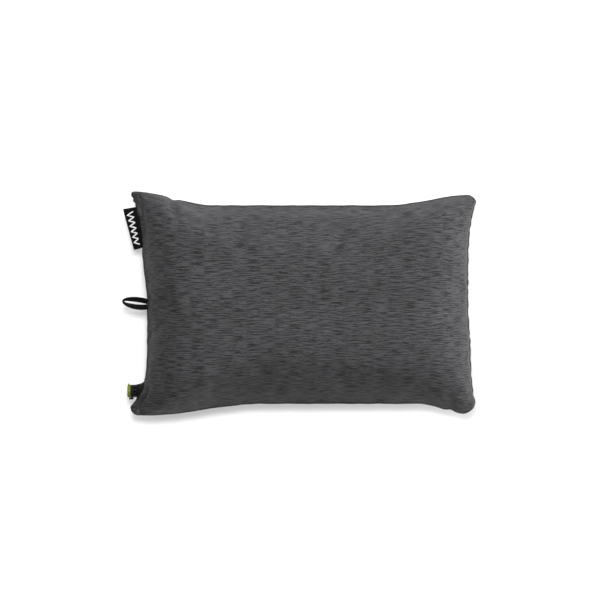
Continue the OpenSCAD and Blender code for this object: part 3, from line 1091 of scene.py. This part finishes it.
# The foam's crown is this much lower than the cover's, and the foam's top lies this far below it
FOAM_DROP = 8 * MM
FOAM_GAP = 1.5 * MM
FILM_THICKNESS = 0.6 * MM
# How far each film rises from the seam's level
FILM_RISES = {1: 17 * MM, -1: 36 * MM}
BAFFLE_GAP = 50 * MM
BAFFLE_REACH = 95 * MM


def crown_share(x, y):
    """The cover's rise, from 0 to 1, over a place in plan."""
    u, v = x / CORNER_X, y / CORNER_Y
    for _ in range(5):
        reach_x = np.where(u < 0, end_reach(-1, v), end_reach(1, v))
        reach_y = np.where(v < 0, edge_reach(-1, u), edge_reach(1, u))
        u, v = np.clip(x / reach_x, -1, 1), np.clip(y / reach_y, -1, 1)
    return close_ends(u) * close_sides(v)


def inner_grid(inset, rows, cols):
    """A grid in plan, finer at its rim, and each point's share of the way out to the rim."""
    def shares(count):
        return np.sin(np.linspace(-1, 1, count) * 1.25) / math.sin(1.25)
    u, v = np.meshgrid(shares(rows), shares(cols), indexing="ij")
    x, y = plan(u, v, inset)
    return x, y, np.maximum(np.abs(u), np.abs(v))


def sew(name, top, bottom, rows, cols, material):
    """A closed solid between two grids that meet at their rims."""
    faces = grid_faces(rows, cols)
    shift = rows * cols
    faces += [tuple(shift + i for i in f[::-1]) for f in faces]
    obj = make_mesh(name, np.concatenate([top, bottom]), faces, material)
    mesh = bmesh.new()
    mesh.from_mesh(obj.data)
    bmesh.ops.remove_doubles(mesh, verts=mesh.verts, dist=0.02 * MM)
    mesh.to_mesh(obj.data)
    mesh.free()
    return obj


def make_foam():
    """The pad under the upper panel, cut with soft edges and moulded to the crown."""
    rows, cols = 61, 41
    x, y, edge = inner_grid(FOAM_INSET, rows, cols)
    middle = SEAM_Z + (CROWN - FOAM_DROP) * crown_share(x, y) - FOAM_HALF - FOAM_GAP
    round_over = FOAM_HALF * np.sqrt(np.clip(1 - smooth((edge - 0.93) / 0.07) ** 2, 0, 1))
    obj = sew("foam_block", rows_of(x, y, middle + round_over), rows_of(x, y, middle - round_over),
              rows, cols, FOAM)
    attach(obj, "pillow")
    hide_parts("foam_pad")


def make_bladder():
    """Two welded films: a flat flange round the edge, and a low ridge over each baffle."""
    rows, cols = 71, 61
    x, y, edge = inner_grid(FILM_INSET, rows, cols)
    puff = np.where(np.abs(y) < BAFFLE_REACH, bump_at(np.mod(y / BAFFLE_GAP + 1, 1), 0.5, 0.2), 1)
    away = smooth((1 - edge) / 0.2)
    share = crown_share(x, y) * smooth((1 - edge) / 0.06)
    for side, rise in FILM_RISES.items():
        z = SEAM_Z + side * (rise * share + (1.8 * MM * puff - 0.9 * MM) * away + 0.4 * MM)
        faces = grid_faces(rows, cols, side < 0)
        film = make_mesh("upper_film" if side > 0 else "lower_film", rows_of(x, y, z), faces, FILM)
        thicken(film, FILM_THICKNESS)
        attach(film, "pillow")
        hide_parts("bladder_top" if side > 0 else "bladder_bottom")


# ---- Camera, floor and light ----

VIEW_WIDTH = 759 * MM
VIEW_MIDDLE = (-3.8 * MM, 5.1 * MM)
LENS, SENSOR = 100.0, 36.0
FLOOR_HALF = 30.0
# Targets for the lights
MIDDLE = (0, 0, 0.05)
RIGHT_FLANK = (0.1, 0, 0.05)


def make_camera():
    """Straight down, so far up that the view's width at the seam is VIEW_WIDTH."""
    data = bpy.data.cameras.new("camera")
    data.lens, data.sensor_width = LENS, SENSOR
    data.clip_end = 20
    camera = bpy.data.objects.new("camera", data)
    bpy.context.scene.collection.objects.link(camera)
    camera.location = (*VIEW_MIDDLE, SEAM_Z + VIEW_WIDTH * LENS / SENSOR)
    bpy.context.scene.camera = camera


def area_light(name, place, target, size, power, shadow=True):
    """A round soft light that faces its target."""
    data = bpy.data.lights.new(name, "AREA")
    data.shape = "DISK"
    data.size = size
    data.energy = power
    data.use_shadow = shadow
    lamp = bpy.data.objects.new(name, data)
    bpy.context.scene.collection.objects.link(lamp)
    lamp.location = place
    lamp.rotation_mode = "QUATERNION"
    lamp.rotation_quaternion = (Vector(target) - Vector(place)).to_track_quat("-Z", "Y")


def make_world():
    """Soft white light from all round, brighter from the right and a little from the back."""
    world = bpy.data.worlds.new("studio")
    bpy.context.scene.world = world
    world.use_nodes = True
    tree = world.node_tree
    background = tree.nodes["Background"]
    background.inputs["Color"].default_value = (1, 1, 1, 1)
    slope = tree.nodes.new("ShaderNodeVectorMath")
    slope.operation = "DOT_PRODUCT"
    slope.inputs[1].default_value = (0.44, 0.08, 0)
    level = tree.nodes.new("ShaderNodeMath")
    level.inputs[1].default_value = 0.45
    tree.links.new(tree.nodes.new("ShaderNodeTexCoord").outputs["Generated"], slope.inputs[0])
    tree.links.new(slope.outputs["Value"], level.inputs[0])
    tree.links.new(level.outputs["Value"], background.inputs["Strength"])


def make_stage():
    """A plain white floor, the world's light and three lamps."""
    n = Nodes("floor_white")
    n.set(Base_Color=(0.93, 0.93, 0.93, 1), Roughness=0.9, Specular_IOR_Level=0.1,
          Emission_Color=(1, 1, 1, 1), Emission_Strength=0.06)
    corners = [(a * FLOOR_HALF, b * FLOOR_HALF, 0) for a, b in ((-1, -1), (1, -1), (1, 1), (-1, 1))]
    floor = make_mesh("floor", corners, [(0, 1, 2, 3)], n.material, False)
    make_world()
    area_light("key", (-0.06, 0.25, 1.5), MIDDLE, 0.34, 14.5)
    area_light("back", (0, 1.3, 0.75), MIDDLE, 0.9, 7)
    area_light("side", (1.4, 0.5, 0.6), RIGHT_FLANK, 1.1, 23, shadow=False)
    bpy.context.scene.view_settings.view_transform = "Standard"


make_camera()
upper, lower = make_cover()
make_welt()
make_stitches(upper, lower)
make_port_binding()
make_label()
make_loop()
for half in (1, -1):
    make_coil(half)
make_foam()
make_bladder()
finish_cad()
make_stage()
